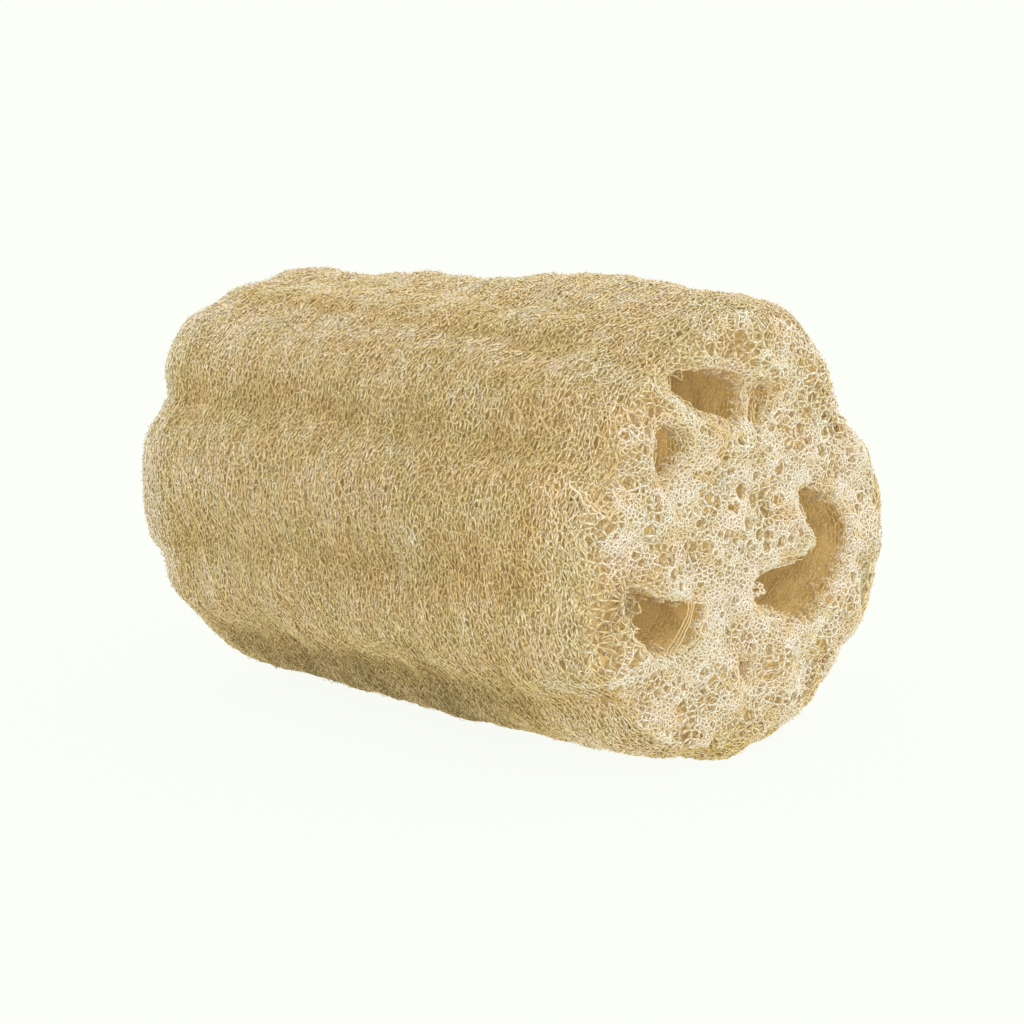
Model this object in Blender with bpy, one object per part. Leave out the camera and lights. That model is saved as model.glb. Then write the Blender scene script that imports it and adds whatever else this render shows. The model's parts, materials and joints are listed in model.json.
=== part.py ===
"""A natural loofah sponge: a cut length of dried luffa fruit, lying on its side.

The fruit's fibre body grew as one piece, so it is one closed solid. It is a barrel with soft rims and
long grooves between its ribs, covered all over by a raised net of fibres, with three seed channels that
run from one cut end to the other. The length lies along X, and the cut end that shows faces +X.
"""

import math

import bmesh
import bpy
import numpy as np

MM = 0.001

# The barrel, in metres. An angle is measured about the length, from +Y towards +Z, in degrees.
LENGTH = 109 * MM
RADIUS = 39.1 * MM
RIM_POWER = 11  # a higher power gives a tighter rim
AXIS_HEIGHT = 37.4 * MM  # of the barrel's axis above the surface it lies on
AXIS_SIDE = -3 * MM  # where the axis passes X = 0, so that the origin is under the middle of the sponge
AXIS_SKEW = 0.046  # how far the axis drifts to +Y for each metre of +X, because the cuts aren't quite square
AXIS_CLIMB = -0.006  # the same towards +Z
AXIS_SAG = 0.24 * MM  # the axis lies this much lower half way along

# Slow swellings of the cross-section: (waves round the section, height, angle of the crest).
SWELLS = ((1, 2.6 * MM, -15), (2, 0.9 * MM, -21), (3, 0.4 * MM, 101))

# How the cross-section changes from the -X end to the +X end: more swellings, none half way along.
TAPERS = ((1, 0.33 * MM, -159), (2, 0.61 * MM, 62), (3, 1.43 * MM, -45), (4, 0.43 * MM, -10))

# Long grooves between the ribs: (angle, depth at the -X end, depth at the +X end, half width in degrees,
# twist in degrees from -X to +X).
GROOVES = (
    (32, 4.9 * MM, 4.7 * MM, 15, 0),
    (68, 2.2 * MM, 1.2 * MM, 9, 0),
    (103, 1.9 * MM, 1.8 * MM, 10, 6),
    (123, 0.2 * MM, 1.6 * MM, 6, -3),
    (153, 2.5 * MM, 1.8 * MM, 8, 0),
    (190, 1.9 * MM, 1.7 * MM, 9, -8),
    (225, 1.2 * MM, 2.1 * MM, 9, -4),
    (262, 2.3 * MM, 2.0 * MM, 10, 0),
    (318, 2.2 * MM, 2.2 * MM, 10, 0),
)

# The raised net. Each cell is a pit between strands.
END_CELL = 5.2 * MM
SIDE_CELL_LONG = 5.2 * MM
SIDE_CELL_ROUND = 6.4 * MM
CELL_SCATTER = 0.27  # share of a cell that its middle may stray
END_PIT = 2.2 * MM
SIDE_PIT = 2.1 * MM
END_FLOOR = 0.58  # share of an end cell that is flat floor
FACES_ALONG = 0.8  # a cell whose normal has this much of X in it is on an end
PIT_FADE = 2 * MM  # pits fade out over this height above the surface that the sponge lies on
SCATTER_SEED = 7

# Seed channels: outlines in (Y, Z) millimetres from the middle of the end that faces +X, anticlockwise
# seen from there. The channels run straight along X.
TOP_CHANNEL = (
    (-17.2, 25.6), (-15.4, 24.0), (-12.5, 22.2), (-8.7, 19.9), (-3.8, 18.5), (0.2, 16.7),
    (1.8, 19.1), (2.4, 22.8), (0.7, 25.4), (-5.0, 26.6), (-10.4, 26.9), (-15.0, 26.6),
)
SIDE_CHANNEL = (
    (4.1, -8.5), (5.0, -12.0), (8.4, -13.7), (12.6, -15.0), (17.0, -16.6), (20.5, -15.5),
    (23.0, -13.0), (26.5, -9.3), (28.2, -6.2), (28.0, -2.1), (25.2, 2.2), (20.5, 5.0),
    (17.2, 5.7), (14.7, 4.8), (15.6, 2.8), (17.4, -0.2), (19.3, -2.8), (18.7, -5.0),
    (16.6, -6.1), (11.6, -6.6), (6.7, -6.9),
)
LOW_CHANNEL = (
    (-25.2, -9.0), (-22.7, -13.2), (-18.8, -16.6), (-14.3, -16.9), (-9.5, -16.0), (-7.2, -12.9),
    (-6.4, -10.2), (-11.2, -9.2), (-16.9, -7.6), (-21.6, -5.0), (-24.6, -5.8),
)
CHANNEL_SWELL = 1.1  # a channel is this much wider half way along

# Blind pits in the end that faces +X: (outline, depth in millimetres).
BLIND_PITS = (
    (((-18.5, 17.2), (-18.5, 13.6), (-17.4, 11.0), (-15.3, 11.1), (-12.8, 13.0), (-12.4, 15.6),
      (-14.4, 18.0), (-16.8, 18.6)), 26),
    (((3.9, 23.0), (3.8, 17.2), (5.2, 16.4), (6.6, 19.8), (7.3, 22.7), (5.6, 23.7)), 12),
    (((-30.9, 9.8), (-29.6, 7.8), (-27.8, 8.8), (-27.6, 12.0), (-29.3, 13.2), (-30.8, 12.2)), 9),
    (((-29.4, -15.2), (-28.9, -18.2), (-27.2, -19.4), (-26.3, -17.2), (-26.8, -14.4), (-28.3, -13.4)), 9),
    (((0.8, -22.2), (2.0, -23.9), (4.2, -23.4), (4.8, -21.6), (3.2, -20.4), (1.3, -20.7)), 9),
)
PIT_TAPER = 0.55  # a blind pit's bottom against its mouth
CUT_PAST = 8 * MM  # cutters stand this far out of the ends

STRAW = (0.68, 0.53, 0.30, 1.0)
ROUGHNESS = 0.9

PROFILE_STEPS = 4000
TINY = 1e-6
MERGE_WITHIN = 0.01 * MM  # corners this close are one corner


def clear_scene():
    for old in list(bpy.data.objects):
        bpy.data.objects.remove(old, do_unlink=True)


def section_radius(angle, x):
    """Radius of the barrel at an angle in radians: swellings added to a circle, less the grooves."""
    along = x / LENGTH  # -0.5 at one end and 0.5 at the other
    radius = np.full(np.broadcast(angle, x).shape, RADIUS)
    for waves, height, crest in SWELLS:
        radius = radius + height * np.cos(waves * (angle - math.radians(crest)))
    for waves, height, crest in TAPERS:
        radius = radius + along * height * np.cos(waves * (angle - math.radians(crest)))
    for middle, back_depth, front_depth, half_width, twist in GROOVES:
        off = angle - np.radians(middle + twist * along)
        off = np.arctan2(np.sin(off), np.cos(off))
        depth = back_depth * (0.5 - along) + front_depth * (0.5 + along)
        radius = radius - depth * np.exp(-((off / math.radians(half_width)) ** 2))
    return radius


def barrel_points(x_share, radius_share, angle):
    """Points of the barrel: x_share runs 1 to -1 along it, and radius_share is 1 on the side."""
    x = x_share * LENGTH / 2
    reach = section_radius(angle, x) * radius_share
    y = AXIS_SIDE + AXIS_SKEW * x + reach * np.cos(angle)
    z = AXIS_HEIGHT + AXIS_CLIMB * x - AXIS_SAG * (1 - x_share ** 2) + reach * np.sin(angle)
    return np.stack([x, y, z], axis=-1)


def profile():
    """The barrel's outline as a superellipse, from the middle of one end to the middle of the other.

    Returns the distance along it, the share of the half length and the share of the radius.
    """
    turn = np.linspace(0.0, math.pi, PROFILE_STEPS)
    size = (np.abs(np.cos(turn)) ** RIM_POWER + np.sin(turn) ** RIM_POWER) ** (-1 / RIM_POWER)
    x_share = np.cos(turn) * size
    radius_share = np.sin(turn) * size
    step = np.hypot(np.diff(x_share) * LENGTH / 2, np.diff(radius_share) * RADIUS)
    return np.concatenate([[0.0], np.cumsum(step)]), x_share, radius_share


def cell_middles(path, radius_share, rng):
    """Distance along the profile and angle of each cell's middle, ring after ring, with a seeded scatter."""
    total = path[-1]
    end_rings = round(RADIUS / END_CELL)
    side_rings = round((total - 2 * RADIUS) / SIDE_CELL_LONG)
    rings = [(RADIUS * k / end_rings, END_CELL, END_CELL) for k in range(1, end_rings)]
    for distance in np.linspace(RADIUS, total - RADIUS, side_rings + 1):
        rings.append((distance, SIDE_CELL_LONG, SIDE_CELL_ROUND))
    rings += [(total - distance, long, round_cell) for distance, long, round_cell in rings[end_rings - 2::-1]]
    distances, angles = [0.0], [0.0]
    for k, (distance, cell_long, cell_round) in enumerate(rings):
        girth = 2 * math.pi * RADIUS * np.interp(distance, path, radius_share)
        count = max(5, round(girth / cell_round))
        stray = rng.uniform(-1, 1, (2, count)) * CELL_SCATTER
        distances.extend(distance + stray[0] * cell_long)
        angles.extend((np.arange(count) + 0.5 * (k % 2) + stray[1]) * 2 * math.pi / count)
    distances.append(total)
    angles.append(0.0)
    return np.array(distances), np.array(angles)


def globe_heights(path, radius_share):
    """Height on Mercator's map for each distance along the profile. The map keeps small shapes."""
    girth_radius = np.maximum(radius_share * RADIUS, TINY)
    steps = np.diff(path) * 2 / (girth_radius[1:] + girth_radius[:-1])
    heights = np.concatenate([[0.0], np.cumsum(steps)])
    return heights - np.interp(path[-1] / 2, path, heights)


def globe_points(path, radius_share, distances, angles):
    """The cell middles on a unit globe, where their convex hull joins each one to its true neighbours."""
    heights = np.interp(distances, path, globe_heights(path, radius_share))
    polar = 2 * np.arctan(np.exp(heights))
    polar[0], polar[-1] = 0.0, math.pi
    return np.stack([np.sin(polar) * np.cos(angles), np.sin(polar) * np.sin(angles), np.cos(polar)], axis=-1)


def neighbours_by_hull(points):
    """A bmesh of the globe's triangles, one vertex for each cell middle."""
    hull = bmesh.new()
    for point in points:
        hull.verts.new(point)
    hull.verts.index_update()
    bmesh.ops.convex_hull(hull, input=hull.verts)
    bmesh.ops.recalc_face_normals(hull, faces=hull.faces)
    hull.faces.ensure_lookup_table()
    hull.faces.index_update()
    return hull


def faces_round(vert):
    """The indices of the triangles round a vertex, anticlockwise seen from outside."""
    ring = []
    loop = vert.link_loops[0]
    while loop.face.index not in ring:
        ring.append(loop.face.index)
        loop = loop.link_loop_prev.link_loop_radial_next
    return ring


def strand_crossings(hull, path, x_share, radius_share):
    """Where the strands of the net meet: the middle of each triangle, brought out to the barrel."""
    middles = np.array([face.calc_center_median().normalized() for face in hull.faces])
    polar = np.arccos(np.clip(middles[:, 2], -1, 1))
    distance = np.interp(np.log(np.tan(polar / 2)), globe_heights(path, radius_share), path)
    angle = np.arctan2(middles[:, 1], middles[:, 0])
    return barrel_points(np.interp(distance, path, x_share), np.interp(distance, path, radius_share), angle)


def outward(corners):
    """Unit normal of a polygon whose corners run anticlockwise."""
    following = np.roll(corners, -1, axis=0)
    normal = np.cross(corners, following).sum(axis=0)
    return normal / np.linalg.norm(normal)


def netted_barrel():
    """The barrel with its raised net: strands at the surface, and a pit inside each cell."""
    rng = np.random.default_rng(SCATTER_SEED)
    path, x_share, radius_share = profile()
    distances, angles = cell_middles(path, radius_share, rng)
    hull = neighbours_by_hull(globe_points(path, radius_share, distances, angles))
    crossings = strand_crossings(hull, path, x_share, radius_share)
    points = [tuple(p) for p in crossings]
    faces = []
    for vert in hull.verts:
        ring = faces_round(vert)
        corners = crossings[ring]
        middle = corners.mean(axis=0)
        normal = outward(corners)
        on_end = abs(normal[0]) > FACES_ALONG
        fade = min(1.0, max(0.0, middle[2] / PIT_FADE))
        drop = normal * (END_PIT if on_end else SIDE_PIT) * fade
        if on_end:
            first = len(points)
            points += [tuple(p) for p in middle + (corners - middle) * END_FLOOR - drop]
            floor = list(range(first, first + len(ring)))
            faces.append(floor)
            for k in range(len(ring)):
                after = (k + 1) % len(ring)
                faces.append((ring[k], ring[after], floor[after], floor[k]))
        else:
            points.append(tuple(middle - drop))
            for k in range(len(ring)):
                faces.append((ring[k], ring[(k + 1) % len(ring)], len(points) - 1))
    hull.free()
    lying = np.array(points)
    lying[:, 2] = np.maximum(lying[:, 2], 0.0)
    return lying, faces


def add_object(name, points, faces):
    mesh = bpy.data.meshes.new(name)
    mesh.from_pydata([tuple(p) for p in points], [], faces)
    shape = bmesh.new()
    shape.from_mesh(mesh)
    bmesh.ops.remove_doubles(shape, verts=shape.verts, dist=MERGE_WITHIN)
    bmesh.ops.triangulate(shape, faces=shape.faces)
    bmesh.ops.recalc_face_normals(shape, faces=shape.faces)
    shape.to_mesh(mesh)
    shape.free()
    made = bpy.data.objects.new(name, mesh)
    bpy.context.scene.collection.objects.link(made)
    return made


def add_cutter(name, outline, stations):
    """A prism along X with the outline in (Y, Z) millimetres. stations are (x, size of the outline)."""
    end_middle = np.array([AXIS_SIDE + AXIS_SKEW * LENGTH / 2, AXIS_HEIGHT])
    flat = np.array(outline) * MM + end_middle
    middle = flat.mean(axis=0)
    count = len(flat)
    points, faces = [], []
    for x, size in stations:
        for y, z in middle + (flat - middle) * size:
            points.append((x, y, z))
    for k in range(len(stations) - 1):
        for i in range(count):
            after = (i + 1) % count
            faces.append((k * count + i, k * count + after, (k + 1) * count + after, (k + 1) * count + i))
    faces.append(tuple(range(count)))
    faces.append(tuple(range((len(stations) - 1) * count, len(stations) * count)))
    cutter = add_object(name, points, faces)
    cutter.hide_render = True
    cutter.display_type = "WIRE"
    return cutter


def channel_stations():
    """A channel runs through both ends, and is widest half way along."""
    past = LENGTH / 2 + CUT_PAST
    return [(-past, 1.0), (-LENGTH / 4, (1 + CHANNEL_SWELL) / 2), (0.0, CHANNEL_SWELL),
            (LENGTH / 4, (1 + CHANNEL_SWELL) / 2), (past, 1.0)]


def pit_stations(depth):
    bottom = LENGTH / 2 - depth * MM
    return [(bottom, PIT_TAPER), (LENGTH / 2, 1.0), (LENGTH / 2 + CUT_PAST, 1.0)]


def straw_material():
    material = bpy.data.materials.new("straw fibre")
    material.use_nodes = True
    shader = material.node_tree.nodes["Principled BSDF"]
    shader.inputs["Base Color"].default_value = STRAW
    shader.inputs["Roughness"].default_value = ROUGHNESS
    shader.inputs["Metallic"].default_value = 0.0
    return material


def main():
    clear_scene()
    loofah = add_object("loofah", *netted_barrel())
    loofah.data.materials.append(straw_material())
    cutters = [
        add_cutter("top_channel_cutter", TOP_CHANNEL, channel_stations()),
        add_cutter("side_channel_cutter", SIDE_CHANNEL, channel_stations()),
        add_cutter("low_channel_cutter", LOW_CHANNEL, channel_stations()),
    ]
    for k, (outline, depth) in enumerate(BLIND_PITS):
        cutters.append(add_cutter(f"blind_pit_cutter_{k}", outline, pit_stations(depth)))
    for cutter in cutters:
        cut = loofah.modifiers.new(cutter.name, "BOOLEAN")
        cut.operation = "DIFFERENCE"
        cut.solver = "EXACT"
        cut.object = cutter


main()
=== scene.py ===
import json
import math

import bpy
import numpy as np
from mathutils import Matrix
from mathutils.geometry import delaunay_2d_cdt

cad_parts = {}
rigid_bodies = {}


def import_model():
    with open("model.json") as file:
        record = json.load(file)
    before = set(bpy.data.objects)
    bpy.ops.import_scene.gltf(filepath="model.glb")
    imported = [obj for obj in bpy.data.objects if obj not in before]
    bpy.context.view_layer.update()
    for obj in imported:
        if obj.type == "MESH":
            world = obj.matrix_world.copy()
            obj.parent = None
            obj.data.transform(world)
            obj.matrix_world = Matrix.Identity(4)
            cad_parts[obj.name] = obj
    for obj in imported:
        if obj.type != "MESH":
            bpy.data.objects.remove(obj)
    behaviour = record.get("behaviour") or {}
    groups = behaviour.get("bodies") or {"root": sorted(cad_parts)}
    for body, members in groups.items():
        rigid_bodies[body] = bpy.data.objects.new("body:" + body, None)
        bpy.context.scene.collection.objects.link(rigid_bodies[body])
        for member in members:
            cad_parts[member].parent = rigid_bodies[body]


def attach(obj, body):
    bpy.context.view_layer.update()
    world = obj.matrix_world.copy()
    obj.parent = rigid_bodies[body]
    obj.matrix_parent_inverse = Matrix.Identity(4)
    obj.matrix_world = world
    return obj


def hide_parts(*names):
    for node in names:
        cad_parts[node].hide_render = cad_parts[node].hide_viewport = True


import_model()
for old in [o for o in bpy.data.objects if o.name in ("Cube", "Light", "Camera")]:
    bpy.data.objects.remove(old, do_unlink=True)
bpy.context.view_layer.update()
mm = 0.001
print("frame loaded")

# the barrel that every fibre follows, in millimetres, with the same sizes as the solid

barrel = {
    "length": 109.0,
    "radius": 39.1,
    "rimPower": 11,
    "axisHeight": 37.4,
    "axisSide": -3.0,
    "axisSkew": 0.046,
    "axisClimb": -0.006,
    "axisSag": 0.24,
    "swells": ((1, 2.6, -15), (2, 0.9, -21), (3, 0.4, 101)),  # waves round, height, angle of the crest
    # the same, growing from one end to the other
    "tapers": ((1, 0.33, -159), (2, 0.61, 62), (3, 1.43, -45), (4, 0.43, -10)),
    # angle, depth at the back, depth at the front, half width and twist over the length, in degrees
    "grooves": ((32, 4.9, 4.7, 15, 0), (68, 2.2, 1.2, 9, 0), (103, 1.9, 1.8, 10, 6), (123, 0.2, 1.6, 6, -3),
                (153, 2.5, 1.8, 8, 0), (190, 1.9, 1.7, 9, -8), (225, 1.2, 2.1, 9, -4),
                (262, 2.3, 2.0, 10, 0), (318, 2.2, 2.2, 10, 0)),
    "lumpHeight": 0.45,
    "lumpSize": 13.0,
    "endLump": 1.6,  # lumps are this much higher on the cut ends
    "lowest": 0.15,  # no fibre's middle line lies lower than this
    # x, angle, half length, half width in degrees, height: low bumps of loose fibre, which the solid
    # leaves out
    "bumps": ((-30, 82, 12, 12, -0.8), (-8, 88, 9, 10, -0.6), (-50, 103, 6, 12, 0.9), (-50, 95, 5, 7, 0.5),
              (-50, 115, 5, 8, -0.8), (16, 84, 13, 9, 1.0), (37, 80, 8, 8, -0.4), (50, 66, 7, 8, 1.2),
              (50, 45, 6, 9, -0.7), (-51, 137, 6, 9, 1.3), (-50, 153, 6, 5, -0.9), (-51, 188, 7, 9, 1.2),
              (-52, 196, 7, 7, 1.6), (-50, 204, 5, 4, -1.3), (-48, 213, 7, 6, 0.9), (-40, 246, 8, 8, -0.5),
              (35, 250, 10, 6, -0.4), (51, 255, 6, 8, 1.3), (52, 266, 7, 6, 0.9), (52, 286, 8, 11, -0.7),
              (51, 300, 6, 10, -0.7), (51, 323, 6, 10, -0.4)),
}
halfLength = barrel["length"] / 2

# outlines of the seed channels and pits in (y, z) from the middle of the cut end, and how deep each goes
holes = {
    "top": {"depth": 109.0, "grow": 0.3, "outline": (
        (-17.2, 25.6), (-15.4, 24.0), (-12.5, 22.2), (-8.7, 19.9), (-3.8, 18.5), (0.2, 16.7),
        (1.8, 19.1), (2.4, 22.8), (0.7, 25.4), (-5.0, 26.6), (-10.4, 26.9), (-15.0, 26.6))},
    "side": {"depth": 109.0, "outline": (
        (4.1, -8.5), (5.0, -12.0), (8.4, -13.7), (12.6, -15.0), (17.0, -16.6), (20.5, -15.5),
        (23.0, -13.0), (26.5, -9.3), (28.2, -6.2), (28.0, -2.1), (25.2, 2.2), (20.5, 5.0),
        (17.2, 5.7), (14.7, 4.8), (15.6, 2.8), (17.4, -0.2), (19.3, -2.8), (18.7, -5.0),
        (16.6, -6.1), (11.6, -6.6), (6.7, -6.9))},
    "low": {"depth": 109.0, "outline": (
        (-25.2, -9.0), (-22.7, -13.2), (-18.8, -16.6), (-14.3, -16.9), (-9.5, -16.0), (-7.2, -12.9),
        (-6.4, -10.2), (-11.2, -9.2), (-16.9, -7.6), (-21.6, -5.0), (-24.6, -5.8))},
    "small": {"depth": 26.0, "pale": 0.16, "outline": (
        (-18.4, 17.6), (-18.6, 13.6), (-17.6, 10.4), (-15.2, 10.3), (-12.6, 12.6), (-12.0, 15.6),
        (-14.4, 18.4), (-16.8, 19.4))},
    "slot": {"depth": 12.0, "grow": 0.1, "outline": (
        (3.9, 23.0), (3.8, 17.2), (5.2, 16.4), (6.6, 19.8), (7.3, 22.7), (5.6, 23.7))},
    "pitLeft": {"depth": 3.4, "outline": (
        (-30.9, 9.8), (-29.6, 7.8), (-27.8, 8.8), (-27.6, 12.0), (-29.3, 13.2), (-30.8, 12.2))},
    "pitLow": {"depth": 3.4, "outline": (
        (-29.4, -15.2), (-28.9, -18.2), (-27.2, -19.4), (-26.3, -17.2), (-26.8, -14.4), (-28.3, -13.4))},
    "pitUnder": {"depth": 9.0, "outline": (
        (0.8, -22.2), (2.0, -23.9), (4.2, -23.4), (4.8, -21.6), (3.2, -20.4), (1.3, -20.7))},
}
through = ("top", "side", "low")
bored = ("top", "side", "low", "small", "slot", "pitUnder")  # the holes that go into the matted body
endMiddle = np.array([barrel["axisSide"] + barrel["axisSkew"] * halfLength, barrel["axisHeight"]])


# smooth noise: a sum of sine waves in random directions, each about size long, scaled to about -1 to 1
def waves(points, size, seed, count=9):
    rng = np.random.default_rng(seed)
    heading = rng.normal(size=(points.shape[-1], count))
    heading *= rng.uniform(0.7, 1.5, count) * 2 * math.pi / size / np.linalg.norm(heading, axis=0)
    return np.sin(points @ heading + rng.uniform(0, 6.3, count)).sum(-1) / math.sqrt(count)


# noise that jumps from point to point: the fraction left of a large sine, from -1 to 1
def jumps(points, seed):
    mixed = np.sin(points @ np.array([12.9898, 78.233, 37.719])[:points.shape[-1]] + seed * 1.7) * 4375.85
    return 2 * (mixed - np.floor(mixed)) - 1


# a bell-shaped share of the girth: 1 at the angle middle, 1 / e at halfWidth degrees to each side, and
# all of it times exp(-further)
def bell(angle, middle, halfWidth, further=0.0):
    off = angle - np.radians(middle)
    off = np.arctan2(np.sin(off), np.cos(off))
    return np.exp(-(off / math.radians(halfWidth)) ** 2 - further)


# vectors divided by their length
def unit(vectors):
    return vectors / np.maximum(np.linalg.norm(vectors, axis=-1, keepdims=True), 1e-9)


# radius at an angle and x: a circle with cosine swellings, less bell-shaped grooves, with bell-shaped bumps
def sectionRadius(angle, x):
    reach = np.full(np.broadcast(angle, x).shape, barrel["radius"])
    along = x / barrel["length"]
    for around, height, crest in barrel["swells"]:
        reach = reach + height * np.cos(around * (angle - math.radians(crest)))
    for around, height, crest in barrel["tapers"]:
        reach = reach + along * height * np.cos(around * (angle - math.radians(crest)))
    for middle, back, front, halfWidth, twist in barrel["grooves"]:
        depth = back * (0.5 - along) + front * (0.5 + along)
        reach = reach - depth * bell(angle, middle + twist * along, halfWidth)
    for place, middle, halfReach, halfWidth, height in barrel["bumps"]:
        reach = reach + height * bell(angle, middle, halfWidth, ((x - place) / halfReach) ** 2)
    return reach


# where the barrel's axis runs at x: a slope each way and a sag
def axisAt(x):
    bow = 1 - np.minimum(1, np.abs(x) / halfLength) ** 2
    y = barrel["axisSide"] + barrel["axisSkew"] * x
    z = barrel["axisHeight"] + barrel["axisClimb"] * x - barrel["axisSag"] * bow
    return y, z


profileSteps = 6000


# the barrel's profile: a superellipse from the middle of one end to the middle of the other, with its
# running length, its share of the half length, its share of the radius and its outward direction
def makeProfile():
    turn = np.linspace(0, math.pi, profileSteps)
    power = barrel["rimPower"]
    size = (np.abs(np.cos(turn)) ** power + np.sin(turn) ** power) ** (-1 / power)
    xShare, rShare = np.cos(turn) * size, np.sin(turn) * size
    dx, dr = np.gradient(xShare * barrel["length"] / 2), np.gradient(rShare * barrel["radius"])
    run = np.concatenate([[0], np.cumsum(np.hypot(np.diff(xShare) * barrel["length"] / 2,
                                                  np.diff(rShare) * barrel["radius"]))])
    long = np.hypot(dx, dr)
    return {"run": run, "x": xShare, "r": rShare, "nx": dr / long, "nr": -dx / long}


profile = makeProfile()
total = profile["run"][-1]


# the running length where the profile first reaches a share of the radius
def runAt(share):
    first = profileSteps // 2
    return np.interp(share, profile["r"][:first], profile["run"][:first])


# a point of the barrel at a running length and an angle, sunk by depth along the profile's outward
# direction, with slow lumps added
def onBarrel(run, angle, depth):
    run, angle, depth = np.broadcast_arrays(run, angle, depth)
    pick = lambda key: np.interp(run, profile["run"], profile[key])
    x = pick("x") * barrel["length"] / 2
    reach = sectionRadius(angle, x) * pick("r")
    place = np.stack([x, reach * np.cos(angle), reach * np.sin(angle)], -1)
    out = waves(place, barrel["lumpSize"], 3) * barrel["lumpHeight"] - depth
    x = x + pick("nx") * out
    reach = reach + pick("nr") * out
    middleY, middleZ = axisAt(x)
    y, z = middleY + reach * np.cos(angle), middleZ + reach * np.sin(angle)
    return np.stack([x, y, np.maximum(z, barrel["lowest"])], -1)


# a point of a cut end above (y, z) from the axis, sunk by depth: the superellipse solved for x
def onEnd(flat, depth, end):
    angle = np.arctan2(flat[..., 1], flat[..., 0])
    share = np.linalg.norm(flat, axis=-1) / sectionRadius(angle, end * halfLength)
    power = barrel["rimPower"]
    x = (1 - np.minimum(share, 0.995) ** power) ** (1 / power) * barrel["length"] / 2
    x = x + waves(flat, barrel["lumpSize"], 5 + end) * barrel["lumpHeight"] * barrel["endLump"] - depth
    middle = np.array(axisAt(end * halfLength))
    z = np.maximum(flat[..., 1] + middle[1], barrel["lowest"])
    return np.stack([end * x, flat[..., 0] + middle[0], z], -1)


# the names of the holes in an end, and how far the barrel's axis there lies off the straight channels
def holesAt(end):
    return list(holes if end == 1 else through), endMiddle - np.array(axisAt(end * halfLength))


# True where a point lies inside a closed outline: it counts the sides that a ray to +y crosses
def inside(points, outline):
    a, b = outline, np.roll(outline, -1, axis=0)
    y, z = points[:, None, 0], points[:, None, 1]
    cross = (a[:, 1] > z) != (b[:, 1] > z)
    rise = np.where(b[:, 1] == a[:, 1], 1e-9, b[:, 1] - a[:, 1])
    at = a[:, 0] + (z - a[:, 1]) / rise * (b[:, 0] - a[:, 0])
    return (cross & (y < at)).sum(1) % 2 == 1


# distance from each point to the nearest side of a closed outline
def offOutline(points, outline):
    a, b = outline, np.roll(outline, -1, axis=0)
    side = b - a
    share = ((points[:, None] - a) * side).sum(-1) / (side ** 2).sum(-1)
    near = a + np.clip(share, 0, 1)[..., None] * side
    return np.linalg.norm(points[:, None] - near, axis=-1).min(1)


# a closed ring to walk round: its length, and the point that lies each running length along it
def walkRing(ring):
    loop = np.vstack([ring, ring[:1]])
    run = np.concatenate([[0], np.cumsum(np.linalg.norm(np.diff(loop, axis=0), axis=1))])
    pick = lambda at: np.stack([np.interp(at, run, loop[:, 0]), np.interp(at, run, loop[:, 1])], -1)
    return run[-1], pick


# a closed outline resampled at even steps, rounded by a moving average, and grown outwards by grow
def smoothOutline(corners, step, grow=0.0, rounding=5):
    girth, pick = walkRing(np.array(corners, float))
    count = max(12, int(round(girth / step)))
    ring = pick(np.arange(count) * girth / count)
    for _ in range(rounding):
        ring = 0.5 * ring + 0.25 * (np.roll(ring, 1, 0) + np.roll(ring, -1, 0))
    along = np.roll(ring, -1, 0) - np.roll(ring, 1, 0)
    out = np.stack([along[:, 1], -along[:, 0]], -1) / np.linalg.norm(along, axis=1)[:, None]
    return ring + out * grow


for hole in holes.values():
    hole["ring"] = smoothOutline(hole["outline"], 0.8, rounding=2)


# the net between scattered points: its knots are the middles of the triangles that join the points,
# moved by the share sharp towards the circles' middles, and its links join the knots of triangles that
# share a side. Stretching makes long cells.
def netBetween(points, stretch, sharp=0.55):
    flat = points * stretch
    triangles = np.array(delaunay_2d_cdt(flat.tolist(), [], [], 0, 1e-6)[2])
    corner = flat[triangles]
    middle = corner.mean(1)
    b, c = corner[:, 1] - corner[:, 0], corner[:, 2] - corner[:, 0]
    twice = 2 * (b[:, 0] * c[:, 1] - b[:, 1] * c[:, 0])
    bb, cc = (b ** 2).sum(1), (c ** 2).sum(1)
    off = np.stack([c[:, 1] * bb - b[:, 1] * cc, b[:, 0] * cc - c[:, 0] * bb], -1) / twice[:, None]
    centre = corner[:, 0] + off
    move = (centre - middle) * sharp
    far = np.linalg.norm(move, axis=1, keepdims=True)
    limit = np.sqrt(np.abs(twice) / 2)[:, None]
    knots = (middle + move * np.minimum(1, limit / np.maximum(far, 1e-9))) / stretch
    sides = np.concatenate([triangles[:, [0, 1]], triangles[:, [1, 2]], triangles[:, [2, 0]]])
    sides = np.sort(sides, axis=1)
    owner = np.tile(np.arange(len(triangles)), 3)
    code = sides[:, 0].astype(np.int64) * len(points) + sides[:, 1]
    order = np.argsort(code, kind="stable")
    same = code[order][1:] == code[order][:-1]
    return knots, np.stack([owner[order][:-1][same], owner[order][1:][same]], -1)


# the links of a net on a band that closes on itself: those whose middle lies in it, and that span less
# than longest along it
def linksInBand(knots, links, low, high, girth, longest):
    middle = knots[links].mean(1)
    keep = (middle[:, 1] >= 0) & (middle[:, 1] < girth) & (middle[:, 0] > low) & (middle[:, 0] < high)
    return links[keep & (np.ptp(knots[links][:, :, 0], axis=1) < longest)]


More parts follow.
